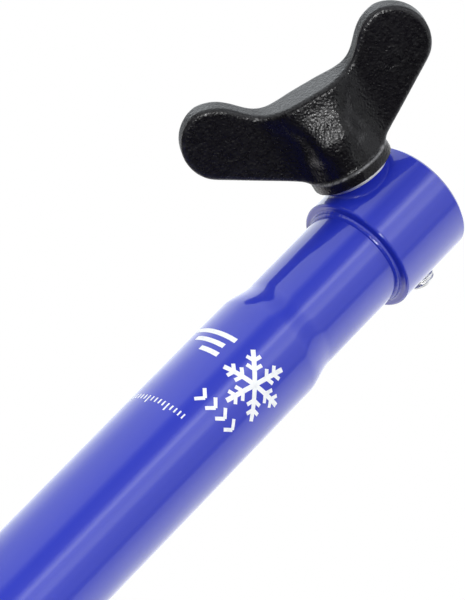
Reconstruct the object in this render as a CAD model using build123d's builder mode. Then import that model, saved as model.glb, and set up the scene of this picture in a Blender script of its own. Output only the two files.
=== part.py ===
from build123d import *
import math
import os

# Drilling section of a hand ice auger: a steel tube swaged to a neck, a socket
# collar for the crank handle with its wing screw, a helical flight and a
# two-blade head. Millimetres, +Z up along the axis, z = 0 at the pilot's point,
# the socket's mouth at the top. The wing screw points to -X. The "a" blade lies
# on the +X side with its cutting edge towards -Y, the "b" blade is half a turn on.

# ---- shared by several pieces ----
TOTAL_H = 850.0            # socket mouth above the pilot's point
GAP = 0.05                 # assembly gap between touching pieces

# ---- tube and collar ----
TUBE_R = 16.0              # main tube, outside
TUBE_WALL = 1.5
TUBE_BORE_R = TUBE_R - TUBE_WALL
TUBE_BOTTOM = 24.0
NECK_R = 14.3              # swaged neck, outside
NECK_BORE_R = 12.6
COLLAR_R = 17.06
COLLAR_LEN = 25.55
COLLAR_BOTTOM = TOTAL_H - COLLAR_LEN
COLLAR_IN_R = NECK_R + GAP
NECK_DEPTH = 8.35          # how far the neck stands inside the collar
NECK_TOP = COLLAR_BOTTOM + NECK_DEPTH

# ---- wing screw, measured outwards from the collar's side at -X ----
BOLT_Z = TOTAL_H - 12.1
BOLT_R = 4.0               # M8
WASHER_T = 1.5
HEAD_LOW = 12.0            # near face of the bolt's head
HEAD_T = 5.3
HEAD_HEX_R = 6.5           # half across flats

# ---- head ----
BLADE_TAN = 0.24           # slope of the blades, rising towards +Y on blade a
BLADE_ANGLE = math.atan(BLADE_TAN)
COS_A = math.cos(BLADE_ANGLE)
SIN_A = math.sin(BLADE_ANGLE)
BLADE_Z = 15.0             # underside plane of the blades at the axis
BLADE_T = 3.5
BLADE_FRONT = -15.0        # cutting edge, ahead of the axis
CUT_R = 75.0
EDGE_OUT = math.sqrt(CUT_R ** 2 - (BLADE_FRONT * COS_A) ** 2)  # outer end of the edge
SEAT_T = 3.0
SEAT_GAP = 0.14            # between a blade and its seat
SEAT_Z = BLADE_Z + (BLADE_T + SEAT_GAP) / COS_A  # seat's underside plane at the axis
SCREW_SPOTS = ((32.0, 9.0), (57.0, 9.0))  # x, y in the blade's plane
SCREW_R = 3.0              # M6
SCREW_HOLE_R = SCREW_R + 0.2
BLADE_PLANE = Plane(origin=(0, 0, BLADE_Z), x_dir=(1, 0, 0), z_dir=(0, -SIN_A, COS_A))

# ---- flights ----
PITCH = 120.0
FLIGHT_R = 73.0
FLIGHT_IN_R = TUBE_R + 0.06
FLIGHT_T = 2.0
TOE_ANGLE = 62.0           # where the flights meet the pressed blade seats
TOE_RAD = math.radians(TOE_ANGLE)
TOE_REF_R = 50.0           # radius at which the toe is level with the blade's slope
TOE_Z = SEAT_Z + BLADE_TAN * TOE_REF_R * math.sin(TOE_RAD)
FLIGHT_Z = TOE_Z + SEAT_T / 2 / COS_A + 0.1
FLIGHT_START = TOE_ANGLE + 1.2
# name, turns, angle from the main flight, turns at which its stitch welds start
FLIGHTS = (
    ("main_flight", 4.6, 0, (0.02, 0.55, 1.08, 1.61, 2.14, 2.67, 3.20, 3.73, 4.26, 4.50)),
    ("lead_flight", 0.55, 180, (0.02, 0.45)),
)

os.makedirs("parts", exist_ok=True)


def save(name, part):
    part.label = name
    export_step(part, f"parts/{name}.step")


def save_a_and_b(name, part):
    """Save a piece of blade a's side, and its copy half a turn on."""
    save(name + "_a", part)
    with BuildPart() as turned:
        add(part, rotation=(0, 0, 180))
    save(name + "_b", turned.part)


def on_both_sides(part):
    """One part that holds the piece and its copy half a turn on."""
    with BuildPart() as both:
        add(part)
        add(part, rotation=(0, 0, 180))
    return both.part


def bolt_plane(x):
    """Plane square to the wing screw's axis, facing -X."""
    return Plane(origin=(x, 0, BOLT_Z), z_dir=(-1, 0, 0))


def start_plane(path):
    """Plane square to a helix at its start: x outwards, y downwards."""
    return Plane(origin=path @ 0, x_dir=(1, 0, 0), z_dir=path % 0)


# ------------------------------------------------------------------ main tube
SWAGE_LOW = TOTAL_H - 64.0
SWAGE_HIGH = TOTAL_H - 55.0
SWAGE_MID = (SWAGE_LOW + SWAGE_HIGH) / 2
with BuildPart() as main_tube:
    with BuildSketch(Plane.XZ):
        with BuildLine():
            Line((TUBE_BORE_R, TUBE_BOTTOM), (TUBE_R, TUBE_BOTTOM))
            Line((TUBE_R, TUBE_BOTTOM), (TUBE_R, SWAGE_LOW))
            Spline((TUBE_R, SWAGE_LOW), ((TUBE_R + NECK_R) / 2, SWAGE_MID),
                   (NECK_R, SWAGE_HIGH), tangents=((0, 1), (0, 1)))
            Line((NECK_R, SWAGE_HIGH), (NECK_R, NECK_TOP))
            Line((NECK_R, NECK_TOP), (NECK_BORE_R, NECK_TOP))
            Line((NECK_BORE_R, NECK_TOP), (NECK_BORE_R, SWAGE_HIGH))
            Spline((NECK_BORE_R, SWAGE_HIGH), ((TUBE_BORE_R + NECK_BORE_R) / 2, SWAGE_MID),
                   (TUBE_BORE_R, SWAGE_LOW), tangents=((0, -1), (0, -1)))
            Line((TUBE_BORE_R, SWAGE_LOW), (TUBE_BORE_R, TUBE_BOTTOM))
        make_face()
    revolve(axis=Axis.Z)
save("main_tube", main_tube.part)

# -------------------------------------------------------------- socket collar
EDGE_R = 0.75              # rounding of the lower edge
RIM_CHAMFER = 0.8          # outer edge of the mouth
SOCKET_R = 12.6            # land that guides the handle's tube
LAND_BOTTOM = TOTAL_H - 6.5
LAND_LEAD_IN = 0.5         # chamfer from the mouth down to the land
RELIEF_R = 13.2            # relieved bore around the bolt
SHOULDER = NECK_TOP + GAP
BOLT_CLEAR_R = 4.25        # plain hole, knob side
BOLT_NUT_R = 4.05          # threaded side, at the thread's outside
with BuildPart() as socket_collar:
    with BuildSketch(Plane.XZ):
        with BuildLine():
            Line((COLLAR_IN_R, COLLAR_BOTTOM), (COLLAR_R - EDGE_R, COLLAR_BOTTOM))
            RadiusArc((COLLAR_R - EDGE_R, COLLAR_BOTTOM),
                      (COLLAR_R, COLLAR_BOTTOM + EDGE_R), -EDGE_R)
            Polyline(
                (COLLAR_R, COLLAR_BOTTOM + EDGE_R),
                (COLLAR_R, TOTAL_H - RIM_CHAMFER),
                (COLLAR_R - RIM_CHAMFER, TOTAL_H),
                (SOCKET_R + LAND_LEAD_IN, TOTAL_H),
                (SOCKET_R, TOTAL_H - LAND_LEAD_IN),
                (SOCKET_R, LAND_BOTTOM),
                (RELIEF_R, LAND_BOTTOM - 0.6),
                (RELIEF_R, SHOULDER),
                (COLLAR_IN_R, SHOULDER),
                (COLLAR_IN_R, COLLAR_BOTTOM),
            )
        make_face()
    revolve(axis=Axis.Z)
    # plain hole on the knob's side, nut thread on the far side
    with Locations(bolt_plane(-COLLAR_R - 1)):
        Hole(radius=BOLT_CLEAR_R, depth=COLLAR_R)
    with Locations(Plane(origin=(COLLAR_R + 1, 0, BOLT_Z), z_dir=(1, 0, 0))):
        Hole(radius=BOLT_NUT_R, depth=COLLAR_R)
save("socket_collar", socket_collar.part)

# ---------------------------------------------------------------- collar weld
WELD_TOP = COLLAR_BOTTOM - GAP
WELD_LOW = COLLAR_BOTTOM - 1.4
WELD_OUT_R = NECK_R + 0.85
WELD_MID = (NECK_R + 0.62, COLLAR_BOTTOM - 0.85)  # point on the bead's round
with BuildPart() as collar_weld:
    with BuildSketch(Plane.XZ):
        with BuildLine():
            Line((COLLAR_IN_R, WELD_TOP), (WELD_OUT_R, WELD_TOP))
            ThreePointArc((WELD_OUT_R, WELD_TOP), WELD_MID, (COLLAR_IN_R, WELD_LOW))
            Line((COLLAR_IN_R, WELD_LOW), (COLLAR_IN_R, WELD_TOP))
        make_face()
    revolve(axis=Axis.Z)
save("collar_weld", collar_weld.part)

# ----------------------------------------------------------------- clamp stud
# M8 through bolt, its hexagon head is held inside the knob
BOLT_TIP = 2.8             # stands proud of the far wall
with BuildPart() as clamp_stud:
    with BuildSketch(bolt_plane(COLLAR_R + BOLT_TIP)):
        Circle(BOLT_R)
    extrude(amount=2 * COLLAR_R + BOLT_TIP + HEAD_LOW)
    # the tip, at +X
    chamfer(clamp_stud.edges().filter_by(GeomType.CIRCLE).sort_by(Axis.X)[-1], length=1.0)
    with BuildSketch(bolt_plane(-COLLAR_R - HEAD_LOW)):
        RegularPolygon(radius=HEAD_HEX_R, side_count=6, major_radius=False)
    extrude(amount=HEAD_T)
save("clamp_stud", clamp_stud.part)

# --------------------------------------------------------------- stud washer
WASHER_R = 9.4
with BuildPart() as stud_washer:
    with BuildSketch(bolt_plane(-COLLAR_R - GAP)):
        Circle(WASHER_R)
        Circle(BOLT_R + 0.3, mode=Mode.SUBTRACT)
    extrude(amount=WASHER_T)
    # rim of the face that looks away from the collar
    outer_face = stud_washer.faces().sort_by(Axis.X)[0]
    chamfer(outer_face.edges().sort_by(SortBy.LENGTH)[-1], length=0.25)
save("stud_washer", stud_washer.part)

# ------------------------------------------------------------------ wing knob
WING_ANGLE = math.radians(-35.38)  # of the wings from the tube's axis, about the bolt
PLATE_T = 8.6              # thickness of the V plate
RING_R = 11.5
RING_LOW = WASHER_T + 2 * GAP
RING_TOP = 5.15
V_FLOOR = 27.5             # bottom of the V between the wings
V_FLOOR_HALF = 8.5
# one wing: distance from the bolt's axis, distance out from the collar's side
WING_END_ARC = ((33.0, 19.7), (36.4, 27.8), (27.0, 38.5))
WING_INNER_EDGE = (WING_END_ARC[-1], (22.2, 37.1), (19.0, 34.7), (15.8, 31.1), (12.8, 28.9),
                   (V_FLOOR_HALF, V_FLOOR))
# distance out from the collar's side, radius along the wings, radius across them
HUB_SECTIONS = ((RING_TOP - 0.3, 10.6, 10.6), (16.0, 8.4, 9.2), (26.8, 10.4, 5.8))
MOULD_GAP = 0.02           # knob to the bolt inside it

wing_dir = Vector(0, math.sin(WING_ANGLE), math.cos(WING_ANGLE))
face_dir = Vector(0, -math.cos(WING_ANGLE), math.sin(WING_ANGLE))
knob_origin = Vector(-COLLAR_R, 0, BOLT_Z)
plate_plane = Plane(origin=knob_origin, x_dir=wing_dir, z_dir=face_dir)
knob_axis_plane = Plane(origin=knob_origin, x_dir=wing_dir, z_dir=(-1, 0, 0))


def on_plate_outline(edge):
    """Edges of the plate's two flat faces, except those next to the ring."""
    centre = edge.center()
    on_flat_face = abs((centre - knob_origin).dot(face_dir)) > PLATE_T / 2 - 0.01
    return on_flat_face and (-COLLAR_R - centre.X) > RING_TOP + 0.5


with BuildPart() as wing_knob:
    # the V plate, both wings
    with BuildSketch(plate_plane):
        with BuildLine():
            Line((0, RING_TOP), (RING_R, RING_TOP))
            Line((RING_R, RING_TOP), WING_END_ARC[0])
            ThreePointArc(*WING_END_ARC)
            Spline(*WING_INNER_EDGE, tangents=((-1, 0.05), (-1, -0.05)))
            Line((V_FLOOR_HALF, V_FLOOR), (0, V_FLOOR))
            Line((0, V_FLOOR), (0, RING_TOP))
        make_face()
        mirror(about=Plane.YZ)
    extrude(amount=PLATE_T / 2, both=True)
    fillet(wing_knob.edges().filter_by(on_plate_outline), radius=2.2)
    # hub around the bolt, running up into the V
    for height, along_wings, across_wings in HUB_SECTIONS:
        with BuildSketch(knob_axis_plane.offset(height)):
            Ellipse(along_wings, across_wings)
    loft()
    # base ring that bears on the washer
    with BuildSketch(knob_axis_plane.offset(RING_LOW)):
        Circle(RING_R)
    extrude(amount=RING_TOP - RING_LOW)
    # pocket of the moulded-in bolt
    with BuildSketch(knob_axis_plane):
        Circle(BOLT_R + MOULD_GAP)
    extrude(amount=HEAD_LOW + 0.5, mode=Mode.SUBTRACT)
    with BuildSketch(bolt_plane(-COLLAR_R - HEAD_LOW + MOULD_GAP)):
        RegularPolygon(radius=HEAD_HEX_R + MOULD_GAP, side_count=6, major_radius=False)
    extrude(amount=HEAD_T + 2 * MOULD_GAP, mode=Mode.SUBTRACT)
save("wing_knob", wing_knob.part)


# -------------------------------------------------------------------- flights
def flight(turns, start_angle):
    with BuildPart() as strip:
        with BuildLine() as path:
            Helix(pitch=PITCH, height=PITCH * turns, radius=(FLIGHT_R + FLIGHT_IN_R) / 2)
        with BuildSketch(start_plane(path.line)):
            Rectangle(FLIGHT_R - FLIGHT_IN_R, FLIGHT_T)
        sweep(path=path.line, is_frenet=True)
    with BuildPart() as placed:
        with Locations((0, 0, FLIGHT_Z)):
            add(strip.part, rotation=(0, 0, start_angle))
    return placed.part


for flight_name, turns, offset_angle, _ in FLIGHTS:
    save(flight_name, flight(turns, FLIGHT_START + offset_angle))

# -------------------------------------------------- stitch welds of the flights
# each bead runs in the corner between the tube and the flight's underside
BEAD_R = TUBE_R + 0.3
BEAD_TURN = 0.085
# outwards from BEAD_R, down from the flight's middle
BEAD_TOP_IN = (0, 1.35)
BEAD_TOP_OUT = (2.9, 1.45)
BEAD_MID = (1.6, 3.0)
BEAD_LOW = (0, 4.1)
with BuildPart() as bead:
    with BuildLine() as bead_path:
        Helix(pitch=PITCH, height=PITCH * BEAD_TURN, radius=BEAD_R)
    with BuildSketch(start_plane(bead_path.line)):
        with BuildLine():
            Line(BEAD_TOP_IN, BEAD_TOP_OUT)
            ThreePointArc(BEAD_TOP_OUT, BEAD_MID, BEAD_LOW)
            Line(BEAD_LOW, BEAD_TOP_IN)
        make_face()
    sweep(path=bead_path.line, is_frenet=True)
with BuildPart() as flight_welds:
    for _, _, offset_angle, weld_turns in FLIGHTS:
        for turn in weld_turns:
            with Locations((0, 0, FLIGHT_Z + PITCH * turn)):
                add(bead.part, rotation=(0, 0, FLIGHT_START + offset_angle + 360 * turn))
save("flight_welds", flight_welds.part)

# ---------------------------------------------------------------- blade seats
# Each seat is pressed from plate: flat under the blade's slope where it rests on
# the blade, twisting into the slope of the flight behind it.
SEAT_IN_R = 17.2
SEAT_OUT_R = 72.0
SEAT_FRONT = -1.0          # y of the front edge
FLAT_END_Y = 18.0          # the flat ends at this y,
FLAT_END_ANGLE = 34.0      # or at this angle where that comes first
RADIAL_STEPS = 14
ANGLE_STEPS = 24


def seat_height(r, phi):
    """Height of the seat's underside at a radius and an angle."""
    flat = SEAT_Z + BLADE_TAN * r * math.sin(phi)
    helical = TOE_Z + PITCH / (2 * math.pi) * (phi - TOE_RAD)
    start = math.asin(min(FLAT_END_Y / r, math.sin(math.radians(FLAT_END_ANGLE))))
    blend = min(1.0, max(0.0, (phi - start) / (TOE_RAD - start)))
    blend = blend * blend * (3 - 2 * blend)
    return flat * (1 - blend) + helical * blend


seat_grid = []
for i in range(RADIAL_STEPS + 1):
    r = SEAT_IN_R + (SEAT_OUT_R - SEAT_IN_R) * i / RADIAL_STEPS
    front = math.asin(SEAT_FRONT / r)
    row = []
    for k in range(ANGLE_STEPS + 1):
        phi = front + (TOE_RAD - front) * k / ANGLE_STEPS
        row.append(Vector(r * math.cos(phi), r * math.sin(phi), seat_height(r, phi)))
    seat_grid.append(row)
seat_face = Face.make_surface_from_array_of_points(seat_grid, tol=0.01, min_deg=3, max_deg=5)
# the face has to look up, the way it is extruded
if seat_face.normal_at(seat_face.center()).Z < 0:
    seat_face = -seat_face

with BuildPart() as blade_seat:
    extrude(seat_face, amount=SEAT_T / COS_A, dir=(0, 0, 1))
    with BuildSketch(BLADE_PLANE):
        with Locations(*SCREW_SPOTS):
            Circle(SCREW_HOLE_R)
    extrude(amount=20, mode=Mode.SUBTRACT)
save_a_and_b("blade_seat", blade_seat.part)

# --------------------------------------------------------------------- blades
BLADE_BACK = 17.8
BACK_R = 71.5              # radius of the outer back corner
BACK_OUT = math.sqrt(BACK_R ** 2 - (BLADE_BACK * COS_A) ** 2)
BLADE_OUTLINE = (          # x, y in the blade's plane
    (8.5, BLADE_FRONT), (EDGE_OUT, BLADE_FRONT), (72.0, 0.0),
    (BACK_OUT, BLADE_BACK), (18.0, BLADE_BACK), (18.0, 5.0),
)
EDGE_LAND = 0.4            # thickness left at the cutting edge
with BuildPart() as blade:
    with BuildSketch(BLADE_PLANE):
        with BuildLine():
            Polyline(*BLADE_OUTLINE, close=True)
        make_face()
    extrude(amount=BLADE_T)
    # ground bevel along the cutting edge, on the top face
    top_faces = blade.faces().filter_by(
        lambda face: abs(face.normal_at().dot(BLADE_PLANE.z_dir) - 1) < 1e-6)
    chamfer(top_faces.edges().sort_by(Axis.Y)[0], length=BLADE_T - EDGE_LAND, length2=8.0)
    # screw holes, countersunk from the underside
    with Locations(*[Plane(origin=BLADE_PLANE.from_local_coords((x, y, 0)), x_dir=(1, 0, 0),
                           z_dir=(0, SIN_A, -COS_A)) for x, y in SCREW_SPOTS]):
        CounterSinkHole(radius=SCREW_HOLE_R, counter_sink_radius=6.3, depth=BLADE_T,
                        counter_sink_angle=90)
save_a_and_b("blade", blade.part)

# ------------------------------------------------- blade screws, washers, nuts
# heights are above the blade's underside
SCREW_HEAD_R = 5.7
HEAD_FACE = 0.1
HEAD_RIM = 0.35            # top of the head's rim, a 90 degree cone above it
SCREW_END = 15.2
END_CHAMFER = 0.6
BLADE_WASHER_LOW = BLADE_T + SEAT_GAP + SEAT_T + 0.1
BLADE_WASHER_T = 1.4
NUT_LOW = BLADE_WASHER_LOW + BLADE_WASHER_T + GAP
NUT_T = 5.0
with BuildPart() as one_screw:
    with BuildSketch(Plane.XZ):
        with BuildLine():
            Polyline(
                (0, HEAD_FACE), (SCREW_HEAD_R, HEAD_FACE), (SCREW_HEAD_R, HEAD_RIM),
                (SCREW_R, HEAD_RIM + SCREW_HEAD_R - SCREW_R),
                (SCREW_R, SCREW_END - END_CHAMFER), (SCREW_R - END_CHAMFER, SCREW_END),
                (0, SCREW_END), close=True)
        make_face()
    revolve(axis=Axis.Z)
    # hexagon socket in the flush head
    with BuildSketch(Plane.XY):
        RegularPolygon(radius=2.0, side_count=6, major_radius=False)
    extrude(amount=2.2, mode=Mode.SUBTRACT)
with BuildPart() as screw_pair:
    with Locations(*[BLADE_PLANE.location * Location((x, y, 0)) for x, y in SCREW_SPOTS]):
        add(one_screw.part)
save("blade_screws", on_both_sides(screw_pair.part))

with BuildPart() as washer_pair:
    with BuildSketch(BLADE_PLANE.offset(BLADE_WASHER_LOW)):
        with Locations(*SCREW_SPOTS):
            Circle(6.0)
            Circle(SCREW_HOLE_R, mode=Mode.SUBTRACT)
    extrude(amount=BLADE_WASHER_T)
save("blade_washers", on_both_sides(washer_pair.part))

with BuildPart() as nut_pair:
    with BuildSketch(BLADE_PLANE.offset(NUT_LOW)):
        with Locations(*SCREW_SPOTS):
            RegularPolygon(radius=5.0, side_count=6, major_radius=False)
            Circle(SCREW_R + 0.04, mode=Mode.SUBTRACT)
    extrude(amount=NUT_T)
save("blade_nuts", on_both_sides(nut_pair.part))

# ---------------------------------------------------------------- pilot point
PLUG_R = TUBE_BORE_R - GAP
PILOT_PROFILE = (          # radius, z: spike, flange under the tube, plug in its bore
    (0, 0), (0.8, 0), (6.5, 10.0), (6.5, 20.0),
    (8.0, 21.5), (15.4, 21.5), (15.9, 22.0), (15.9, TUBE_BOTTOM - GAP),
    (PLUG_R, TUBE_BOTTOM - GAP), (PLUG_R, 43.0), (13.4, 44.0), (0, 44.0),
)
with BuildPart() as pilot_point:
    with BuildSketch(Plane.XZ):
        with BuildLine():
            Polyline(*PILOT_PROFILE, close=True)
        make_face()
    revolve(axis=Axis.Z)
save("pilot_point", pilot_point.part)

# ---------------------------------------------------------------- edge covers
COVER_LOW = -2.3           # from the blade's underside
COVER_T = 8.2
COVER_OUTLINE = ((7.6, -19.0), (76.0, -19.0), (75.0, -5.5), (13.6, -5.5))
SLOT_GAP = 0.08            # above and below the blade
SLOT_FRONT = BLADE_FRONT - 0.3
SLOT_BACK = 2.0            # past the cover's open back
with BuildPart() as edge_cover:
    with BuildSketch(BLADE_PLANE.offset(COVER_LOW)):
        with BuildLine():
            Polyline(*COVER_OUTLINE, close=True)
        make_face()
    extrude(amount=COVER_T)
    # corners first, then the edges along the front
    fillet(edge_cover.edges().filter_by(
        lambda edge: abs(edge.tangent_at(0.5).dot(BLADE_PLANE.z_dir)) > 0.9), radius=1.0)
    fillet(edge_cover.edges().group_by(Axis.Y)[0], radius=1.4)
    # slot for the blade
    with BuildSketch(BLADE_PLANE.offset(-SLOT_GAP)):
        with BuildLine():
            Polyline((0, SLOT_FRONT), (EDGE_OUT + 0.35, SLOT_FRONT),
                     (EDGE_OUT, SLOT_BACK), (0, SLOT_BACK), close=True)
        make_face()
    extrude(amount=BLADE_T + 2 * SLOT_GAP, mode=Mode.SUBTRACT)
save_a_and_b("edge_cover", edge_cover.part)
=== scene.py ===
"""Lower section of a hand auger: painted tube, two flights, blades and a clamp collar.

The auger stands along +Z on the origin, point down, with the collar's mouth at z = TOP.
The wing screw goes through the collar along X, its knob on the -X side.
Meshes are worked out in millimetres; materials, lights and camera are in metres.
"""
import math

import bpy
import bmesh
import numpy as np
from mathutils import Matrix, Vector


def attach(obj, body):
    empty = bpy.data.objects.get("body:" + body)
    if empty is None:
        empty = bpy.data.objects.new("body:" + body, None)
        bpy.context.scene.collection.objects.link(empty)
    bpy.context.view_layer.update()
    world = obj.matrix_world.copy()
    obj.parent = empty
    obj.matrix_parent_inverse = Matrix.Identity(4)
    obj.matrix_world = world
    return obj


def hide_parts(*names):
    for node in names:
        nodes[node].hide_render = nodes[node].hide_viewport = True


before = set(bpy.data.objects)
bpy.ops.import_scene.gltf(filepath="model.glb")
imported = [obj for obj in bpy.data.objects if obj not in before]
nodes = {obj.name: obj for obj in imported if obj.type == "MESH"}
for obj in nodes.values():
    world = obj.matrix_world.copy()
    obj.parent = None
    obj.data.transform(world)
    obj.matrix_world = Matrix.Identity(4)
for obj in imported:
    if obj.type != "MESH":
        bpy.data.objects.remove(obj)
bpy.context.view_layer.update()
scene = bpy.context.scene

# ---------------------------------------------------------------- dimensions
MM = 0.001
TOP = 850.0                                 # mouth of the collar

TUBE_R = 16.0
BORE_R = TUBE_R - 1.5
NECK_R, NECK_BORE_R = 14.3, 12.6            # upper end of the tube, inside the collar

COLLAR_R = 17.06
BOLT_Z = TOP - 12.1                         # axis of the wing screw

FLIGHT_R, FLIGHT_ROOT_R = 73.0, TUBE_R + 0.06
FLIGHT_HALF_T = 1.0
FLIGHT_SPREAD = 0.98                        # share of the thickness kept when measured along z
PITCH = 120.0
LEAD = PITCH / (2 * math.pi)                # climb per radian

BLADE_SLOPE, BLADE_Z, BLADE_T = 0.24, 15.0, 3.5
BLADE_COS = math.cos(math.atan(BLADE_SLOPE))
TOE_DEGREES = 62.0                          # where the first flight starts round the tube
TOE = math.radians(TOE_DEGREES)
TOE_REACH = 50.0                            # radius at which the toe's height is taken
TOE_Z = BLADE_Z + (BLADE_T + 0.14) / BLADE_COS + BLADE_SLOPE * TOE_REACH * math.sin(TOE)
FLIGHT_Z = TOE_Z + 1.5 / BLADE_COS + 0.1
FLIGHT_START = math.radians(TOE_DEGREES + 1.2)

WING_TILT = math.radians(-35.38)            # knob turned about the screw's axis
WING_DIR = np.array([0.0, math.sin(WING_TILT), math.cos(WING_TILT)])
PLATE_DIR = np.array([0.0, math.cos(WING_TILT), -math.sin(WING_TILT)])

VIEW_DIR = np.array([-0.4609, -0.8875, 0.0])                # level, from the tube to the camera
VIEW_LEFT = np.array([VIEW_DIR[1], -VIEW_DIR[0], 0.0])      # level, leftward from the camera
VIEW_ANGLE = math.atan2(VIEW_DIR[1], VIEW_DIR[0])


# ---------------------------------------------------------------- node helpers
class Nodes:
    """Short ways to add and link nodes in one tree."""

    def __init__(self, tree):
        self.tree = tree

    def feed(self, socket, value):
        """Link a socket or set a plain value; colours get an alpha of 1."""
        if isinstance(value, bpy.types.NodeSocket):
            self.tree.links.new(value, socket)
        elif socket.type == "RGBA":
            socket.default_value = (*value, 1)
        else:
            socket.default_value = value

    def node(self, kind, inputs=None, **props):
        node = self.tree.nodes.new(kind)
        for key, value in props.items():
            setattr(node, key, value)
        for key, value in (inputs or {}).items():
            self.feed(node.inputs[key], value)
        return node

    def math(self, operation, first, second, clamp=False):
        node = self.node("ShaderNodeMath", {0: first, 1: second},
                         operation=operation, use_clamp=clamp)
        return node.outputs[0]

    def dot(self, vector, direction):
        node = self.node("ShaderNodeVectorMath", operation="DOT_PRODUCT")
        self.feed(node.inputs[0], vector)
        self.feed(node.inputs[1], tuple(direction))
        return node.outputs["Value"]

    def map_range(self, source, to=(0.0, 1.0), span=(0.3, 0.7)):
        """Map source from span to the range `to`; the usual span is that of a noise."""
        node = self.node("ShaderNodeMapRange", {
            "From Min": span[0], "From Max": span[1],
            "To Min": to[0], "To Max": to[1], "Value": source})
        return node.outputs["Result"]

    def ramp(self, source, stops):
        """stops: (position, (r, g, b)) in rising order"""
        node = self.node("ShaderNodeValToRGB", {"Fac": source})
        elements = node.color_ramp.elements
        elements[0].position = stops[0][0]
        elements[1].position = stops[-1][0]
        for position, _ in stops[1:-1]:
            elements.new(position)
        for element, (position, colour) in zip(elements, stops):
            element.position = position
            element.color = (*colour, 1)
        return node.outputs["Color"]

    def mix_shaders(self, factor, first, second):
        node = self.node("ShaderNodeMixShader", {0: factor, 1: first, 2: second})
        return node.outputs[0]

    def is_camera_ray(self):
        return self.node("ShaderNodeLightPath").outputs["Is Camera Ray"]


class Surface(Nodes):
    """A Principled material with textures in object coordinates."""

    def __init__(self, name):
        self.material = bpy.data.materials.new(name)
        self.material.use_nodes = True
        super().__init__(self.material.node_tree)
        self.principled = self.tree.nodes["Principled BSDF"]
        self.position = self.node("ShaderNodeTexCoord").outputs["Object"]

    def noise(self, scale, detail=3.0, roughness=0.5, stretch=None):
        vector = self.position
        if stretch is not None:
            mapping = self.node("ShaderNodeMapping", {"Scale": stretch, "Vector": vector})
            vector = mapping.outputs["Vector"]
        node = self.node("ShaderNodeTexNoise", {
            "Scale": scale, "Detail": detail, "Roughness": roughness, "Vector": vector})
        return node.outputs["Fac"]

    def cells(self, scale):
        node = self.node("ShaderNodeTexVoronoi", {"Scale": scale, "Vector": self.position})
        return node.outputs["Distance"]

    # vertex attribute: real paint wear on the flights' rims, a painted highlight on the knob's
    # edges
    def wear_and_highlight(self):
        return self.node("ShaderNodeAttribute", attribute_name="wear_and_highlight").outputs["Fac"]

    def mix(self, factor, first, second):
        node = self.node("ShaderNodeMix", data_type="RGBA")
        for index, value in ((0, factor), (6, first), (7, second)):
            self.feed(node.inputs[index], value)
        return node.outputs[2]

    def bump(self, height, strength, distance, below=None):
        node = self.node("ShaderNodeBump", {
            "Strength": strength, "Distance": distance, "Height": height})
        if below is not None:
            self.feed(node.inputs["Normal"], below)
        return node.outputs["Normal"]

    def finish(self, **inputs):
        """Set Principled inputs, with underscores for spaces, and return the material."""
        for key, value in inputs.items():
            self.feed(self.principled.inputs[key.replace("_", " ")], value)
        return self.material


# ------------------------------------------------------------------ materials
def make_paint():
    s = Surface("blue_enamel")
    blue = s.ramp(s.noise(scale=9.0),
                  [(0.3, (0.0145, 0.0285, 0.446)), (0.7, (0.0195, 0.0345, 0.496))])
    # bare steel shows where wear and a fine noise add up past the threshold
    chips = s.math("MULTIPLY", s.noise(scale=420.0, detail=5.0, roughness=0.65), 0.55)
    worn = s.math("MULTIPLY", s.wear_and_highlight(), 1.0)
    bare = s.math("GREATER_THAN", s.math("ADD", worn, chips), 0.98)
    orange_peel = s.bump(s.noise(scale=330.0, detail=2.0), strength=0.14, distance=0.00010)
    normal = s.bump(s.noise(scale=1600.0, detail=2.0), strength=0.10, distance=0.00004,
                    below=orange_peel)
    return s.finish(
        Base_Color=s.mix(bare, blue, (0.42, 0.42, 0.43)),
        Roughness=s.map_range(s.noise(scale=60.0, detail=4.0), to=(0.30, 0.42)),
        Metallic=s.math("MULTIPLY", bare, 0.9),
        Coat_Weight=s.math("SUBTRACT", 1.0, bare),
        Coat_Roughness=s.map_range(s.noise(scale=140.0, detail=4.0),
                                   to=(0.03, 0.085), span=(0.3, 0.75)),
        Coat_IOR=1.52,
        Normal=normal,
        Coat_Normal=normal,
        Specular_IOR_Level=0.2)


def make_plastic(name, low, high, roughness, grain, depth, specular):
    """Mottled from low to high, with a moulded grain of the given scale and depth."""
    s = Surface(name)
    body = s.ramp(s.noise(scale=45.0, detail=4.0), [(0.3, low), (0.7, high)])
    pits = s.bump(s.cells(grain), strength=0.9, distance=depth)
    normal = s.bump(s.noise(scale=grain * 0.8, detail=2.0, roughness=0.6),
                    strength=0.8, distance=depth, below=pits)
    # painted highlight: lightened in patches where the vertex attribute marks the lit edges
    patches = s.map_range(s.noise(scale=520.0, detail=4.0, roughness=0.6),
                          to=(0.25, 1.0), span=(0.35, 0.65))
    painted_highlight = s.math("MULTIPLY", s.wear_and_highlight(), patches, clamp=True)
    return s.finish(
        Base_Color=s.mix(painted_highlight, body, (0.36, 0.36, 0.37)),
        Roughness=s.map_range(s.noise(scale=grain * 0.6),
                              to=(roughness - 0.05, roughness + 0.08)),
        Normal=normal,
        Specular_IOR_Level=specular)


def make_metal(name, low, high, roughness, stretch, scale, strength=0.12, distance=0.00003):
    """Bare metal; stretch draws the noise out into tool marks."""
    s = Surface(name)
    body = s.ramp(s.noise(scale=120.0, detail=4.0), [(0.3, low), (0.7, high)])
    marks = s.noise(scale=scale, detail=4.0, roughness=0.6, stretch=stretch)
    return s.finish(
        Base_Color=body,
        Metallic=1.0,
        Roughness=s.map_range(marks, to=(roughness - 0.07, roughness + 0.10)),
        Normal=s.bump(marks, strength, distance))


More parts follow.
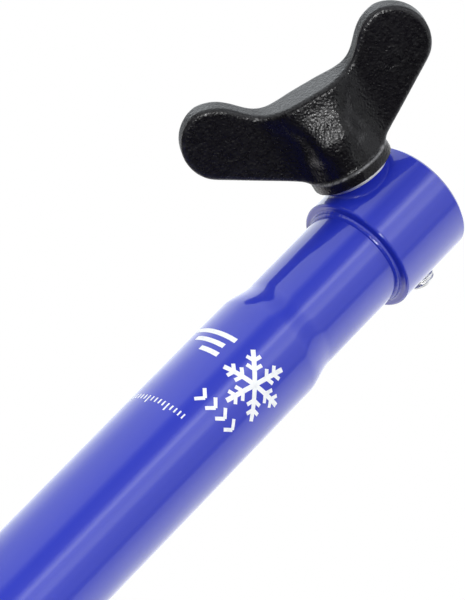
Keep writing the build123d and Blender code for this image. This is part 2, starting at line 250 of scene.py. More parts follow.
def make_print():
    s = Surface("white_print")
    speck = s.noise(scale=900.0, detail=4.0, roughness=0.6)
    return s.finish(
        Base_Color=s.ramp(speck, [(0.30, (0.78, 0.80, 0.83)), (0.5, (0.90, 0.91, 0.92))]),
        Roughness=s.map_range(speck, to=(0.32, 0.45)),
        Normal=s.bump(s.noise(scale=330.0, detail=2.0), strength=0.10, distance=0.00010),
        Coat_Weight=0.4,
        Coat_Roughness=0.1)


PAINT = make_paint()
PLASTIC = make_plastic(
    "black_grained_nylon", low=(0.0020, 0.0016, 0.0026), high=(0.0042, 0.0034, 0.0054),
    roughness=0.28, grain=1450.0, depth=0.00009, specular=0.37)
COVER = make_plastic(
    "black_soft_plastic", low=(0.012, 0.012, 0.013), high=(0.020, 0.020, 0.021),
    roughness=0.50, grain=1100.0, depth=0.00006, specular=0.5)
ZINC = make_metal(
    "zinc_plated_steel", low=(0.80, 0.80, 0.79), high=(0.93, 0.93, 0.91),
    roughness=0.42, stretch=(1, 1, 1), scale=600.0)
STEEL = make_metal(
    "turned_steel", low=(0.30, 0.31, 0.33), high=(0.50, 0.51, 0.52),
    roughness=0.32, stretch=(0.15, 0.15, 3.0), scale=500.0, strength=0.3, distance=0.00006)
BLADE = make_metal(
    "ground_blade_steel", low=(0.42, 0.43, 0.45), high=(0.60, 0.61, 0.62),
    roughness=0.28, stretch=(0.04, 1.0, 1.0), scale=1500.0, strength=0.25, distance=0.00004)
PRINT = make_print()


# --------------------------------------------------------------- mesh helpers
def add_object(name, mesh):
    ob = bpy.data.objects.new(name, mesh)
    scene.collection.objects.link(ob)
    return ob


def add_mesh(name, verts, faces, material, body="auger", replaces=(), sharp=35.0,
             wear_and_highlight=None):
    """Add one piece from vertices in millimetres; edges over `sharp` degrees stay hard."""
    mesh = bpy.data.meshes.new(name)
    mesh.from_pydata([tuple(v) for v in np.asarray(verts, float) * MM], [],
                     [tuple(int(i) for i in face) for face in faces])
    mesh.validate()
    bm = bmesh.new()
    bm.from_mesh(mesh)
    bmesh.ops.recalc_face_normals(bm, faces=bm.faces)
    bm.to_mesh(mesh)
    bm.free()
    mesh.shade_smooth()
    mesh.set_sharp_from_angle(angle=math.radians(sharp))
    if wear_and_highlight is not None:
        attribute = mesh.attributes.new("wear_and_highlight", "FLOAT", "POINT")
        attribute.data.foreach_set("value", np.asarray(wear_and_highlight, np.float32))
    ob = add_object(name, mesh)
    mesh.materials.append(material)
    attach(ob, body)
    if replaces:
        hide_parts(*replaces)
    return ob


def grid_faces(rows, columns, wrap_rows=False, wrap_columns=False):
    faces = []
    for i in range(rows if wrap_rows else rows - 1):
        next_i = (i + 1) % rows
        for j in range(columns if wrap_columns else columns - 1):
            next_j = (j + 1) % columns
            faces.append((i * columns + j, next_i * columns + j,
                          next_i * columns + next_j, i * columns + next_j))
    return faces


def sweep_faces(rows, columns):
    """Faces of a closed section swept along rows, with both ends capped."""
    last = (rows - 1) * columns
    caps = [tuple(range(columns)), tuple(last + i for i in reversed(range(columns)))]
    return grid_faces(rows, columns, wrap_columns=True) + caps


def join(parts):
    """Merge (verts, faces) pairs into one."""
    verts, faces = [], []
    for part_verts, part_faces in parts:
        offset = len(verts)
        verts.extend(part_verts)
        faces.extend(tuple(offset + i for i in face) for face in part_faces)
    return verts, faces


def around_axis(radius, angle, height):
    """Broadcast cylindrical coordinates to a flat list of points."""
    axes = np.broadcast_arrays(radius * np.cos(angle), radius * np.sin(angle), height)
    return np.stack(axes, -1).reshape(-1, 3)


def full_turn(count):
    return np.linspace(0, 2 * math.pi, count, endpoint=False)


def revolve_ring(profile, count):
    """Turn a closed (r, z) profile about the Z axis."""
    radius, height = np.asarray(profile, float).T
    verts = around_axis(radius, full_turn(count)[:, None], height)
    return verts, grid_faces(count, len(radius), True, True)


def smooth(t):
    t = np.clip(t, 0.0, 1.0)
    return t * t * (3 - 2 * t)


def arc_points(centre_r, centre_z, radius, start, end, count):
    """Points on an arc in the (r, z) plane, angles in degrees."""
    angles = [math.radians(start + (end - start) * i / (count - 1)) for i in range(count)]
    return [(centre_r + radius * math.cos(a), centre_z + radius * math.sin(a)) for a in angles]


# ------------------------------------------------------------------ main tube
def build_tube():
    """Hollow tube that necks in below the collar."""
    bottom, top = 24.0, 832.8
    neck_start, neck_end = 785.6, 795.6
    stations = np.array(
        [24.4, 60, 110, 170, 240, 320, 400, 480, 560, 640, 700, 750, 775, 782,
         *np.linspace(784, 797.2, 34), 799, 803, 810, 818, 826, 832.5])
    necking = smooth((stations - neck_start) / (neck_end - neck_start))
    outside = list(zip(TUBE_R - (TUBE_R - NECK_R) * necking, stations))
    inside = list(zip(BORE_R - (BORE_R - NECK_BORE_R) * necking, stations))
    profile = [(TUBE_R - 0.4, bottom), *outside, (NECK_R - 0.3, top),
               (NECK_BORE_R + 0.2, top), *reversed(inside), (BORE_R + 0.1, bottom)]
    verts, faces = revolve_ring(profile, 256)
    add_mesh("tube_shell", verts, faces, PAINT, replaces=("main_tube",))


# ---------------------------------------------------------------- collar weld
# r, z, share of the ripple
COLLAR_WELD_PROFILE = np.array([
    (14.31, 822.98, 0.0), (14.52, 823.12, 0.3), (14.70, 823.33, 0.7), (14.84, 823.60, 1.0),
    (14.91, 823.80, 1.0), (14.955, 823.96, 1.0), (14.995, 824.10, 1.0), (15.035, 824.24, 0.8),
    (15.12, 824.33, 0.5), (15.33, 824.39, 0.2), (15.55, 824.41, 0.0), (14.36, 824.41, 0.0)])


def build_collar_weld():
    """Weld bead under the collar, with overlapping scales softened by the paint."""
    count, scale_count = 720, 58
    outward, upward = 0.78, -0.62           # direction in which the ripple swells
    angle = full_turn(count)
    rng = np.random.default_rng(7)
    phase = (angle / (2 * math.pi) * scale_count
             + 0.25 * np.sin(3 * angle + 1) + 0.12 * np.sin(11 * angle))
    scales = np.sin(np.pi * (phase - np.floor(phase))) ** 0.8
    waves = sum(rng.normal() * np.sin(k * angle + rng.uniform(0, 6.28)) / k
                for k in (2, 3, 5, 7))
    radius, height, share = COLLAR_WELD_PROFILE.T
    swell = share * (0.05 * scales + 0.04 * waves)[:, None]
    verts = around_axis(radius + outward * swell, angle[:, None], height + upward * swell)
    add_mesh("collar_weld_bead", verts, grid_faces(count, len(radius), True, True), PAINT,
             replaces=("collar_weld",), sharp=60)


# ----------------------------------------------------------------------- knob
# Knob coordinates: `along` the wings, `height` out from the collar's crown,
# `through` the plate of the wings.
RIM_POINTS = (33.1, 19.9), (36.4, 27.8), (26.9, 38.5)       # along, height: end of a wing
FLANK_POINTS = [                                            # along, height: rim to middle
    (26.9, 38.5), (22.4, 37.1), (19.0, 34.4), (15.8, 30.8),
    (12.6, 28.6), (8.5, 27.5), (4.0, 27.3), (0.0, 27.3)]
FOOT_POINTS = [(0.0, 4.2), (10.3, 4.2), (11.6, 6.0)]        # along, height: middle to rim

# height, half size along the wings, half size through the plate
HUB_STATIONS = np.array([
    (6.0, 10.5, 10.5), (9.0, 10.0, 10.4), (12.0, 9.0, 10.3), (15.0, 7.6, 10.0),
    (18.0, 7.3, 8.9), (21.0, 8.2, 7.5), (24.0, 9.4, 6.4), (28.0, 10.9, 5.3)])

CELL = 0.25                                 # spacing of the outline's distance grid


def rim_arc():
    """31 points on the circle through the three rim points."""
    (ax, ay), (bx, by), (cx, cy) = RIM_POINTS
    a_sq, b_sq, c_sq = ax ** 2 + ay ** 2, bx ** 2 + by ** 2, cx ** 2 + cy ** 2
    area_4 = 2 * (ax * (by - cy) + bx * (cy - ay) + cx * (ay - by))
    centre_x = (a_sq * (by - cy) + b_sq * (cy - ay) + c_sq * (ay - by)) / area_4
    centre_y = (a_sq * (cx - bx) + b_sq * (ax - cx) + c_sq * (bx - ax)) / area_4
    radius = math.hypot(ax - centre_x, ay - centre_y)
    start = math.atan2(ay - centre_y, ax - centre_x)
    end = math.atan2(cy - centre_y, cx - centre_x)
    angles = [start + (end - start) * i / 30 for i in range(31)]
    return [(centre_x + radius * math.cos(a), centre_y + radius * math.sin(a)) for a in angles]


def catmull_rom(points, count):
    """Smooth curve through the points, with count steps to each span."""
    padded = np.array([points[0], *points, points[-1]])
    curve = []
    for i in range(len(points) - 1):
        a, b, c, d = padded[i:i + 4]
        for k in range(count):
            t = k / count
            curve.append(tuple(0.5 * (2 * b + (c - a) * t + (2 * a - 5 * b + 4 * c - d) * t * t
                                      + (3 * b - a - 3 * c + d) * t ** 3)))
    curve.append(tuple(points[-1]))
    return curve


def knob_outline():
    right = FOOT_POINTS + rim_arc() + catmull_rom(FLANK_POINTS, 8)[1:]
    left = [(-x, y) for x, y in reversed(right) if x > 1e-6]
    return right + left


def polygon_distance(x, y, points):
    """Signed distance to a closed polygon, negative inside."""
    squared = np.full(x.shape, 1e9)
    inside = np.zeros(x.shape, bool)
    for (x0, y0), (x1, y1) in zip(points, points[1:] + points[:1]):
        edge_x, edge_y = x1 - x0, y1 - y0
        from_x, from_y = x - x0, y - y0
        t = np.clip((from_x * edge_x + from_y * edge_y)
                    / (edge_x * edge_x + edge_y * edge_y + 1e-12), 0, 1)
        squared = np.minimum(squared, (from_x - edge_x * t) ** 2 + (from_y - edge_y * t) ** 2)
        inside ^= ((y0 > y) != (y1 > y)) & (
            x < edge_x * (y - y0) / (edge_y if edge_y else 1e-12) + x0)
    distance = np.sqrt(squared)
    return np.where(inside, -distance, distance)


def blurred_outline_grid():
    """Grid axes and outline distance, blurred to round the outline's corners."""
    reach, sigma = 14, 5.0                  # in cells
    grid_x = np.arange(-39, 39.01, CELL)
    grid_y = np.arange(-2, 42.01, CELL)
    distance = polygon_distance(*np.meshgrid(grid_x, grid_y, indexing="ij"), knob_outline())
    kernel = np.exp(-0.5 * (np.arange(-reach, reach + 1) / sigma) ** 2)
    kernel /= kernel.sum()
    distance = np.pad(distance, reach, mode="edge")
    for axis in (0, 1):
        distance = np.apply_along_axis(
            lambda line: np.convolve(line, kernel, mode="valid"), axis, distance)
    return grid_x, grid_y, distance


GRID_X, GRID_Y, OUTLINE_DISTANCE = blurred_outline_grid()


def outline_distance(along, height):
    """Bilinear lookup in the outline grid."""
    fx = np.clip((along - GRID_X[0]) / CELL, 0, len(GRID_X) - 1.001)
    fy = np.clip((height - GRID_Y[0]) / CELL, 0, len(GRID_Y) - 1.001)
    ix, iy = fx.astype(int), fy.astype(int)
    fx, fy = fx - ix, fy - iy
    grid = OUTLINE_DISTANCE
    return (grid[ix, iy] * (1 - fx) * (1 - fy) + grid[ix + 1, iy] * fx * (1 - fy)
            + grid[ix, iy + 1] * (1 - fx) * fy + grid[ix + 1, iy + 1] * fx * fy)


def outline_cell(along, height):
    """Outline distance at the cell corner below each point."""
    ix = ((along - GRID_X[0]) / CELL).astype(int).clip(0, len(GRID_X) - 1)
    iy = ((height - GRID_Y[0]) / CELL).astype(int).clip(0, len(GRID_Y) - 1)
    return OUTLINE_DISTANCE[ix, iy]


def plate_half(along):
    """Half thickness of the wing plate, thinning outwards; along is unsigned."""
    return 5.8 - 2.3 * smooth((along - 3) / 13) - 0.4 * smooth((along - 20) / 15)


def rounded(x, y, radius):
    """Intersect two distances with a rounded corner; both are already moved in by radius."""
    outside = np.sqrt(np.maximum(x, 0) ** 2 + np.maximum(y, 0) ** 2)
    return np.minimum(np.maximum(x, y), 0) + outside - radius


def smooth_union(a, b, blend):
    t = np.clip(0.5 + 0.5 * (b - a) / blend, 0, 1)
    return b * (1 - t) + a * t - blend * t * (1 - t)


def knob_distance(along, height, through):
    """Signed distance to the knob, negative inside."""
    side = np.abs(along)
    depth = np.abs(through)
    radial = np.sqrt(along * along + through * through)

    edge = 1.05 + 0.15 * smooth((side - 12) / 12)
    plate = rounded(outline_distance(along, height) + edge,
                    depth - (plate_half(side) - edge), edge)

    # hub: superellipse sections, squarer towards the top
    heights, halves_along, halves_through = HUB_STATIONS.T
    half_along = np.interp(height, heights, halves_along)
    half_through = np.interp(height, heights, halves_through)
    power = 2.0 + 1.6 * smooth((height - 9.0) / 8.0)
    section = ((side / half_along) ** power + (depth / half_through) ** power
               + 1e-9) ** (1 / power)
    hub = np.maximum((section - 1) * np.minimum(half_along, half_through) * 0.85,
                     np.maximum(4.8 - height, height - 26.2))
    body = np.maximum(smooth_union(plate, hub, 2.6), 4.95 - height)

    base_ring = rounded(radial - (11.55 - 0.4), np.abs(height - 3.4) - (1.75 - 0.4), 0.4)
    knob = smooth_union(body, base_ring, 0.2)
    # faint round groove on each face of each wing
    groove = np.abs(np.sqrt((side - 24.5) ** 2 + (height - 25.5) ** 2) - 2.9)
    knob = knob + 0.13 * np.exp(-(groove / 0.3) ** 2) * (depth > 1.0)
    stud_pocket = np.maximum(radial - 4.15, height - 9.0)
    return np.maximum(knob, -stud_pocket)


def neighbours(axis):
    """Slices that pair each grid point with the next one along an axis."""
    near, far = [slice(None)] * 3, [slice(None)] * 3
    near[axis], far[axis] = slice(0, -1), slice(1, None)
    return tuple(near), tuple(far)


def surface_net(distance, low, high, step):
    """Quad mesh of the zero surface: a vertex per crossed cell, a face per crossed edge."""
    axes = [np.arange(low[i], high[i] + step, step) for i in range(3)]
    values = distance(*np.meshgrid(*axes, indexing="ij"))
    inside = values < 0
    cells = tuple(size - 1 for size in inside.shape)
    count = np.zeros(cells, int)
    total = np.zeros(cells + (3,))
    for axis in range(3):
        near, far = neighbours(axis)
        crossed = inside[near] != inside[far]
        gap = np.where(crossed, values[near] - values[far], 1)
        place = np.indices(crossed.shape).astype(float)
        place[axis] += np.where(crossed, values[near] / gap, 0)
        others = [k for k in range(3) if k != axis]
        # each cell touches four grid edges that run along this axis
        for shifts in ((0, 0), (0, 1), (1, 0), (1, 1)):
            window = [slice(None)] * 3
            for k, shift in zip(others, shifts):
                window[k] = slice(shift, crossed.shape[k] - 1 + shift)
            window = tuple(window)
            count += crossed[window]
            for k in range(3):
                total[..., k] += np.where(crossed[window], place[k][window], 0)
    used = count > 0
    ids = -np.ones(cells, int)
    ids[used] = np.arange(used.sum())
    points = total[used] / count[used][:, None] * step + np.array(low)

    faces = []
    for axis in range(3):
        near, far = neighbours(axis)
        others = [k for k in range(3) if k != axis]
        edges = np.argwhere(inside[near] != inside[far])
        keep = np.ones(len(edges), bool)
        for k in others:
            keep &= (edges[:, k] > 0) & (edges[:, k] < inside.shape[k] - 1)
        edges = edges[keep]
        quads = []
        for shifts in ((0, 0), (1, 0), (1, 1), (0, 1)):
            cell = edges.copy()
            cell[:, others] -= shifts
            quads.append(ids[tuple(cell.T)])
        quads = np.stack(quads, 1)
        starts_inside = inside[near][tuple(edges.T)]
        flip = starts_inside if axis != 1 else ~starts_inside
        quads[flip] = quads[flip][:, ::-1]
        faces.append(quads)
    return points, np.concatenate(faces)


def project(distance, points):
    """Pull points onto the zero surface along its gradient."""
    e = 0.05
    for _ in range(3):
        x, y, z = points.T
        value = distance(x, y, z)
        gradient = np.stack([distance(x + e, y, z) - distance(x - e, y, z),
                             distance(x, y + e, z) - distance(x, y - e, z),
                             distance(x, y, z + e) - distance(x, y, z - e)], 1) / (2 * e)
        steepness = np.maximum((gradient * gradient).sum(1), 0.25)
        points = points - gradient * (np.clip(value, -0.4, 0.4) / steepness)[:, None]
    return points


def knob_painted_highlight(along, height, through):
    """Painted highlight along the top edge of the base ring, and faintly along the edges of the
    wings.
    """
    radial = np.sqrt(along ** 2 + through ** 2)
    ring = 0.95 * np.exp(-((height - 5.0) / 0.30) ** 2 - ((radial - 11.4) / 0.45) ** 2)
    face_gap = np.abs(through) - plate_half(np.abs(along)) + 0.25
    edge_gap = outline_cell(along, height) + 0.45
    return ring + 0.09 * np.exp(-(face_gap / 0.45) ** 2 - (edge_gap / 0.6) ** 2)


def build_knob():
    step = 0.55
    points, faces = surface_net(knob_distance, (-37.6, 0.8, -13.0), (37.6, 40.0, 13.0), step)
    points = project(knob_distance, points)
    along, height, through = points.T
    # one wing sits slightly higher than the other
    lean = math.radians(0.5)
    leaned_height = height - along * math.sin(lean) * smooth((np.abs(along) - 10) / 8)
    verts = (np.array([-COLLAR_R, 0, BOLT_Z])
             + (along * math.cos(lean))[:, None] * WING_DIR
             + leaned_height[:, None] * np.array([-1.0, 0, 0])
             + through[:, None] * PLATE_DIR)
    # the knob's vertex attribute holds a painted highlight on the ring's top edge and the wing
    # edges
    add_mesh("wing_knob_body", verts, faces, PLASTIC, body="wing_screw",
             replaces=("wing_knob",), sharp=50, wear_and_highlight=knob_painted_highlight(along, height, through))


# ------------------------------------------------------------ stud and washer
def about_bolt(verts):
    """Turn a piece built about Z onto the screw's axis; z is the height above the crown."""
    x, y, z = np.asarray(verts, float).T
    return np.stack([-COLLAR_R - z, x, BOLT_Z + y], 1)


def build_stud():
    """Threaded stud, right across the collar and a little out of its far side."""
    count, stud_r, thread_pitch, thread_depth = 64, 4.0, 1.25, 0.52
    tip, root = -(2 * COLLAR_R + 2.8), 9.5
    stations = np.concatenate([np.linspace(tip, tip + 1.0, 9)[:-1],
                               np.arange(tip + 1.0, root, thread_pitch / 10)])
    angle = full_turn(count)[:, None]
    phase = stations / thread_pitch - angle / (2 * math.pi)
    flank = np.abs(2 * (phase - np.floor(phase)) - 1)
    radius = stud_r - thread_depth * smooth((flank - 0.2) / 0.75)
    radius = np.minimum(radius, 2.95 + (stations - tip) * 1.05)     # chamfered tip
    rows = len(stations)
    tip_centre = count * rows
    root_centre = tip_centre + 1
    verts = np.vstack([around_axis(radius, angle, stations),
                       (0, 0, tip + 0.12), (0, 0, stations[-1])])
    faces = grid_faces(count, rows, wrap_rows=True)
    for i in range(count):
        j = (i + 1) % count
        faces.append((tip_centre, j * rows, i * rows))
        faces.append((root_centre, i * rows + rows - 1, j * rows + rows - 1))
    add_mesh("clamp_stud_threaded", about_bolt(verts), faces, ZINC,
             body="wing_screw", replaces=("clamp_stud",), sharp=55)


def build_washer():
    bore_r, outer_r = 4.3, 9.4
    bottom, top = 0.05, 1.55
    chamfer, low_round, high_round = 0.15, 0.35, 0.6
    profile = [
        (bore_r, bottom + chamfer), (bore_r + chamfer, bottom),
        *arc_points(outer_r - low_round, bottom + low_round, low_round, -90, 0, 6),
        *arc_points(outer_r - high_round, top - high_round, high_round, 0, 90, 10),
        (bore_r + chamfer, top), (bore_r, top - chamfer)]
    verts, faces = revolve_ring(profile, 160)
    add_mesh("stud_washer_ring", about_bolt(verts), faces, ZINC,
             body="clamp_slider", replaces=("stud_washer",), sharp=40)


# -------------------------------------------------------------------- flights
def build_flight(name, start, turns, node, wave_seed):
    """Helical plate with a rounded rim, slightly wavy towards the rim."""
    rows = int(turns * 110)
    rim_round = 0.95
    turned = np.linspace(0, turns * 2 * math.pi, rows)[:, None]
    remaining = turned[-1] - turned
    # the upper end is cut back in a sweeping curve
    cut = np.minimum(remaining / math.radians(58.0), 1)
    outer_r = FLIGHT_ROOT_R + (FLIGHT_R - FLIGHT_ROOT_R) * (
        0.20 + 0.80 * np.sqrt(1 - (1 - cut) ** 2))
    waves = (0.25 * np.sin(turned * 2.3 + wave_seed)
             + 0.18 * np.sin(turned * 5.1 + 2 * wave_seed))
    # section: share of the width, side of the plate (+1 upper, -1 lower), share of the rim
    shares = np.linspace(0, 1, 16)[:-1]
    rim_angles = [math.radians(a) for a in range(0, 181, 30)]
    section = ([(t, 1.0, 0.0) for t in shares]
               + [(1.0, math.cos(a), math.sin(a)) for a in rim_angles]
               + [(t, -1.0, 0.0) for t in reversed(shares)])
    share, side, rim = np.array(section).T
    radius = (FLIGHT_ROOT_R + (outer_r - rim_round - FLIGHT_ROOT_R) * share
              + rim_round * rim)
    half = FLIGHT_HALF_T - 0.10 * share
    z = (FLIGHT_Z + LEAD * turned
         + half * side * np.sqrt(1 + (LEAD / radius) ** 2) * FLIGHT_SPREAD
         + waves * share ** 2)
    wear_and_highlight = 0.62 * np.where(rim > 0.3, 1.0, np.where(share > 0.93, 0.35, 0.0))
    add_mesh(name, around_axis(radius, start + turned, z), sweep_faces(rows, len(section)),
             PAINT, replaces=(node,), sharp=50, wear_and_highlight=np.tile(wear_and_highlight, rows))


# ---------------------------------------------------------------- flight welds
# distance out from the tube, distance off the flight
BEAD_SECTION = np.array([
    (0.0, 0.0), (3.1, 0.0), (2.6, 0.75), (2.0, 1.5), (1.35, 2.3), (0.7, 3.2), (0.0, 4.2)])
# start of each bead, in turns from the start of its flight
MAIN_BEADS = (0.02, 0.55, 1.08, 1.61, 2.14, 2.67, 3.20, 3.73, 4.26, 4.48)
LEAD_BEADS = (0.02, 0.44)


def weld_bead(rng, start, turn, length, side):
    """One stitch on the flight's upper (side 1) or lower (side -1) face; length in turns."""
    rows = 44
    share = np.linspace(0, 1, rows)
    turned = ((turn + length * share) * 2 * math.pi)[:, None]
    taper = np.clip(np.sin(np.pi * share) * 3.2, 0, 1) ** 0.5
    ripple = (1 + 0.10 * np.abs(np.sin(share * math.pi * 13))
              + 0.06 * rng.normal(size=rows).cumsum() / 6)
    size = (taper * ripple)[:, None]
    out, rise = BEAD_SECTION.T
    radius = TUBE_R - 0.05 + out * size
    face_gap = FLIGHT_HALF_T * np.sqrt(1 + (LEAD / radius) ** 2) * FLIGHT_SPREAD - 0.05
    z = FLIGHT_Z + LEAD * turned + side * face_gap + side * rise * size * 1.15
    return around_axis(radius, start + turned, z), sweep_faces(rows, len(BEAD_SECTION))


def build_beads():
    """Fillet weld stitches where the flights meet the tube, above and below."""
    rng = np.random.default_rng(3)
    parts = []
    for turn in MAIN_BEADS:
        parts.append(weld_bead(rng, FLIGHT_START, turn, 0.085, 1))
        parts.append(weld_bead(rng, FLIGHT_START, turn + 0.03, 0.085, -1))
    for turn in LEAD_BEADS:
        parts.append(weld_bead(rng, FLIGHT_START + math.pi, turn, 0.085, 1))
        parts.append(weld_bead(rng, FLIGHT_START + math.pi, turn + 0.02, 0.08, -1))
    verts, faces = join(parts)
    add_mesh("flight_weld_beads", verts, faces, PAINT,
             replaces=("flight_welds",), sharp=70)


def build_seat_weld(tag, turn, seed):
    """Radial weld where a flight's toe meets its blade seat."""
    rows, columns = 90, 12
    rng = np.random.default_rng(seed)
    row = np.arange(rows)
    radius = np.linspace(17.4, 71.4, rows)[:, None]
    ripple = (1 + 0.10 * np.abs(np.sin(np.linspace(0, 26 * math.pi, rows)))
              + 0.05 * rng.normal(size=rows))
    taper = np.minimum(1.0, np.minimum((row + 1) / 4, (rows - row) / 4))
    size = (ripple * taper)[:, None]
    angle = full_turn(columns)
    across = 2.5 * np.cos(angle) * size
    rise = np.where(np.sin(angle) > 0, 1.75, 1.55) * np.sin(angle) * size
    around = TOE + math.radians(0.6) + across / radius
    z = TOE_Z + 1.54 + LEAD * (around - TOE) + rise
    add_mesh("seat_weld_" + tag, around_axis(radius, around + turn, z),
             sweep_faces(rows, columns), PAINT, sharp=70)


# ---------------------------------------------------------------------- print
# Print coordinates: u round the tube, growing towards the knob's side and zero facing the
# camera; v down from the mouth. Crossing strips have different heights so none coincide.
STRIP_HEIGHT = 0.030


def print_strip(start, end, width, height=STRIP_HEIGHT):
    """One thin bar of print from start to end, both (u, v)."""
    start, end = np.array(start, float), np.array(end, float)
    length = np.linalg.norm(end - start)
    du, dv = (end - start) / length
    rows = max(2, int(length / 0.6) + 1)
    columns = max(2, int(width / 0.5) + 1)
    along = (length * np.arange(rows) / (rows - 1))[:, None, None]
    across = (width * (np.arange(columns) / (columns - 1) - 0.5))[None, :, None]
    u = start[0] + du * along - dv * across
    v = start[1] + dv * along + du * across
    layers = TUBE_R + np.array([0.004, height])
    verts = around_axis(layers, VIEW_ANGLE - u / TUBE_R, TOP - v)

    def index(i, j, layer):
        return (i * columns + j) * 2 + layer

    faces = []
    for i in range(rows - 1):
        for j in range(columns - 1):
            faces.append((index(i, j, 1), index(i + 1, j, 1),
                          index(i + 1, j + 1, 1), index(i, j + 1, 1)))
            faces.append((index(i, j, 0), index(i, j + 1, 0),
                          index(i + 1, j + 1, 0), index(i + 1, j, 0)))
    for i in range(rows - 1):
        for j in (0, columns - 1):
            faces.append((index(i, j, 0), index(i + 1, j, 0),
                          index(i + 1, j, 1), index(i, j, 1)))
    for j in range(columns - 1):
        for i in (0, rows - 1):
            faces.append((index(i, j, 0), index(i, j + 1, 0),
                          index(i, j + 1, 1), index(i, j, 1)))
    return verts, faces


def print_snowflake(centre, size, width):
    """Six arms, each with two pairs of twigs."""
    centre = np.array(centre)
    strips = []
    for k in range(6):
        angle = math.radians(60 * k + 15)
        arm = np.array([math.cos(angle), math.sin(angle)]) * size
        strips.append(print_strip(centre, centre + arm, width, STRIP_HEIGHT + 0.002 * k))
        for place, length in ((0.42, 0.26), (0.68, 0.24)):
            base = centre + arm * place
            for side in (-1, 1):
                twig_angle = angle + side * math.radians(58)
                twig = np.array([math.cos(twig_angle), math.sin(twig_angle)]) * size * length
                strips.append(print_strip(base, base + twig, width * 0.8,
                                          0.040 + 0.002 * k + 0.001 * side))
    return strips


def build_print():
    strips = print_snowflake(centre=(-4.5, 81.5), size=9.4, width=1.3)
    # three bars beside the snowflake
    for i, (u_start, u_end) in enumerate(((7.0, 21.5), (8.5, 18.5), (8.0, 14.0))):
        v = 75.8 + i * 3.1
        strips.append(print_strip((u_start, v), (u_end, v), width=1.5))
    # four chevrons below it
    for i in range(4):
        u = 4.2 - i * 3.7
        corner = (u - 1.9, 94.3)
        strips.append(print_strip((u, 92.2), corner, width=1.0))
        strips.append(print_strip(corner, (u, 96.4), width=1.0, height=0.034))
    # row of short marks, every fifth one longer
    for i in range(15):
        u = 21.0 - i * 1.28
        v_end = 104.1 if i % 5 == 0 else 103.1
        strips.append(print_strip((u, 101.5), (u, v_end), width=0.42))
    verts, faces = join(strips)
    add_mesh("tube_print", verts, faces, PRINT, sharp=30)


# ------------------------------------------------------------------ CAD pieces
# piece, material, whether its edges are bevelled
CAD_PIECES = (
    ("socket_collar", PAINT, False),
    ("blade_seat_a", PAINT, True),
    ("blade_seat_b", PAINT, True),
    ("pilot_point", STEEL, True),
    ("blade_a", BLADE, False),
    ("blade_b", BLADE, False),
    ("blade_screws", ZINC, True),
    ("blade_washers", ZINC, True),
    ("blade_nuts", ZINC, True),
    ("edge_cover_a", COVER, False),
    ("edge_cover_b", COVER, False),
)


def dress_cad_pieces():
    """Give the CAD pieces that keep their shape a material and softened edges."""
    for name, material, bevelled in CAD_PIECES:
        ob = nodes[name]
        ob.data.materials.clear()
        ob.data.materials.append(material)
        if bevelled:
            bevel = ob.modifiers.new("edge", "BEVEL")
            bevel.width = 0.0003
            bevel.segments = 2
            bevel.limit_method = "ANGLE"
            bevel.angle_limit = math.radians(40)
            bevel.harden_normals = False


# ------------------------------------------------------------------- the stage
def floor_material():
    """Mid grey to the camera; other rays see a dark floor that glows far behind the auger."""
    material = bpy.data.materials.new("floor_pale")
    material.use_nodes = True
    s = Nodes(material.node_tree)
    s.tree.nodes.clear()
    dark = s.node("ShaderNodeBsdfDiffuse", {"Color": (0.045, 0.045, 0.05)})
    grey = s.node("ShaderNodeBsdfDiffuse", {"Color": (0.46, 0.46, 0.465)})
    glow = s.node("ShaderNodeEmission", {"Color": (1.0, 0.97, 1.0), "Strength": 1.35})
    position = s.node("ShaderNodeNewGeometry").outputs["Position"]
    behind = s.map_range(s.dot(position, VIEW_DIR), span=(-0.75, -1.05))
    unseen = s.mix_shaders(behind, dark.outputs[0], glow.outputs[0])
    surface = s.mix_shaders(s.is_camera_ray(), unseen, grey.outputs[0])
    s.node("ShaderNodeOutputMaterial", {"Surface": surface})
    return material


def build_floor():
    half = 6.0
    mesh = bpy.data.meshes.new("floor")
    mesh.from_pydata([(-half, -half, 0), (half, -half, 0), (half, half, 0), (-half, half, 0)],
                     [], [(0, 1, 2, 3)])
    ob = add_object("floor", mesh)
    mesh.materials.append(floor_material())


# brightness of the surroundings: degrees from the camera's direction (positive to the
# camera's left), level
SURROUNDINGS = (
    (-180, 1.3), (-145, 1.3), (-128, 1.45), (-110, 1.6), (-96, 1.67), (-87, 1.58),
    (-79, 1.43), (-71, 1.3), (-67, 0.6), (-61, 0.55), (-57, 0.8), (-50, 0.86),
    (-43, 0.9), (-37, 1.05), (-31, 1.1), (-27, 1.6), (-24, 2.2), (-18, 2.2),
    (-12, 1.85), (-5, 2.0), (-1, 3.2), (2, 3.0), (6, 1.7), (12, 0.5),
    (18, 0.45), (30, 0.35), (37, 0.65), (44, 1.32), (64, 1.35), (90, 1.33),
    (116, 1.65), (180, 1.4))


def surroundings_stop(degrees, level):
    """Ramp stop at a third of the level, which the sky's strength makes up; slightly blue."""
    green, blue = (1.05, 1.09) if degrees >= 30 else (1.02, 1.05)
    red = level / 3
    return (degrees + 180) / 360, (red, red * green, red * blue)


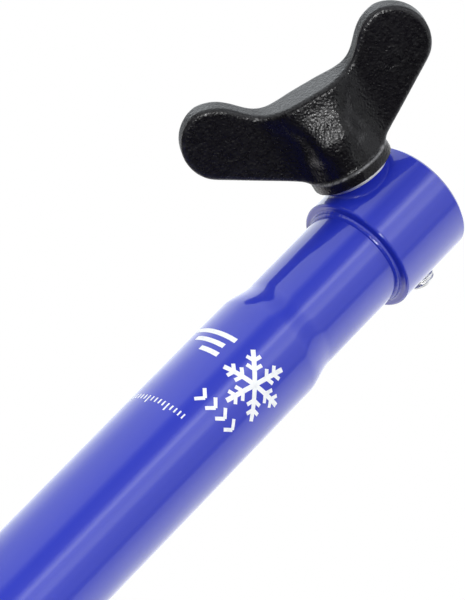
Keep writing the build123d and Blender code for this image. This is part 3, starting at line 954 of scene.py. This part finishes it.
def build_world():
    """White to the camera; a studio of bright and dark bands to everything else."""
    world = bpy.data.worlds.new("studio")
    scene.world = world
    world.use_nodes = True
    s = Nodes(world.node_tree)
    s.tree.nodes.clear()
    direction = s.node("ShaderNodeTexCoord").outputs["Generated"]
    up = (0, 0, 1)

    angle = s.math("ARCTAN2", s.dot(direction, VIEW_LEFT), s.dot(direction, VIEW_DIR))
    bands = s.ramp(s.map_range(angle, span=(-math.pi, math.pi)),
                   [surroundings_stop(*entry) for entry in SURROUNDINGS])
    # dimmer towards the horizon and again overhead
    low = s.map_range(s.dot(direction, up), to=(0.5, 3.0), span=(0.29, 0.39))
    overhead = s.map_range(s.dot(direction, up), to=(1.0, 0.4), span=(0.62, 0.92))
    studio = s.node("ShaderNodeBackground",
                    {"Color": bands, "Strength": s.math("MULTIPLY", low, overhead)})
    # a light strip all round at the horizon
    strip = s.node("ShaderNodeBackground", {"Color": (0.97, 1.0, 1.0), "Strength": 1.7})
    at_horizon = s.map_range(s.dot(direction, up), to=(1.0, 0.0), span=(0.03, 0.07))
    sky = s.mix_shaders(at_horizon, studio.outputs[0], strip.outputs[0])
    white = s.node("ShaderNodeBackground", {"Color": (1, 1, 1), "Strength": 1.0})
    surface = s.mix_shaders(s.is_camera_ray(), sky, white.outputs[0])
    s.node("ShaderNodeOutputWorld", {"Surface": surface})


def add_area_light(name, location, target, size, power):
    """Square area light aimed at target; metres and watts."""
    light = bpy.data.lights.new(name, "AREA")
    light.energy = power
    light.size = size
    light.shape = "SQUARE"
    ob = add_object(name, light)
    ob.location = location
    aim = Vector(target) - Vector(location)
    ob.rotation_euler = aim.to_track_quat("-Z", "Y").to_euler()
    return ob


def build_lights():
    add_area_light("soft_front", location=(-0.262, -0.722, 0.352), target=(-0.03, 0, 0.845),
                   size=0.16, power=3.9)
    add_area_light("small_side", location=(-0.67, -0.42, 0.45), target=(-0.03, 0, 0.83),
                   size=0.05, power=0.35)
    fill = add_area_light("left_fill", location=(-0.90, 0.19, 1.02), target=(0, 0, 0.76),
                          size=0.5, power=2.3)
    fill.visible_glossy = False


def build_camera():
    """Long lens, low down and rolled, looking up at the auger."""
    camera = bpy.data.cameras.new("camera")
    camera.sensor_width = 36.0
    camera.sensor_fit = "AUTO"
    camera.lens = 293.23191
    camera.clip_start = 0.05
    camera.clip_end = 60.0
    ob = add_object("camera", camera)
    # columns: right, up, back, place
    ob.matrix_world = Matrix((
        (0.49112096, -0.77457333, -0.39854279, -0.520716),
        (-0.608577, 0.022248, -0.793183, -1.002825),
        (0.62324456, 0.63209272, -0.46046174, 0.203341),
        (0, 0, 0, 1)))
    scene.camera = ob


# ------------------------------------------------------------------- assembly
build_tube()
build_collar_weld()
build_knob()
build_stud()
build_washer()
build_flight("main_flight_helix", FLIGHT_START, 4.6, "main_flight", wave_seed=1)
build_flight("lead_flight_helix", FLIGHT_START + math.pi, 0.55, "lead_flight", wave_seed=4)
build_beads()
build_seat_weld("a", turn=0.0, seed=11)
build_seat_weld("b", turn=math.pi, seed=12)
build_print()
dress_cad_pieces()
build_floor()
build_world()
build_lights()
build_camera()
scene.view_settings.view_transform = "Standard"
scene.view_settings.look = "None"
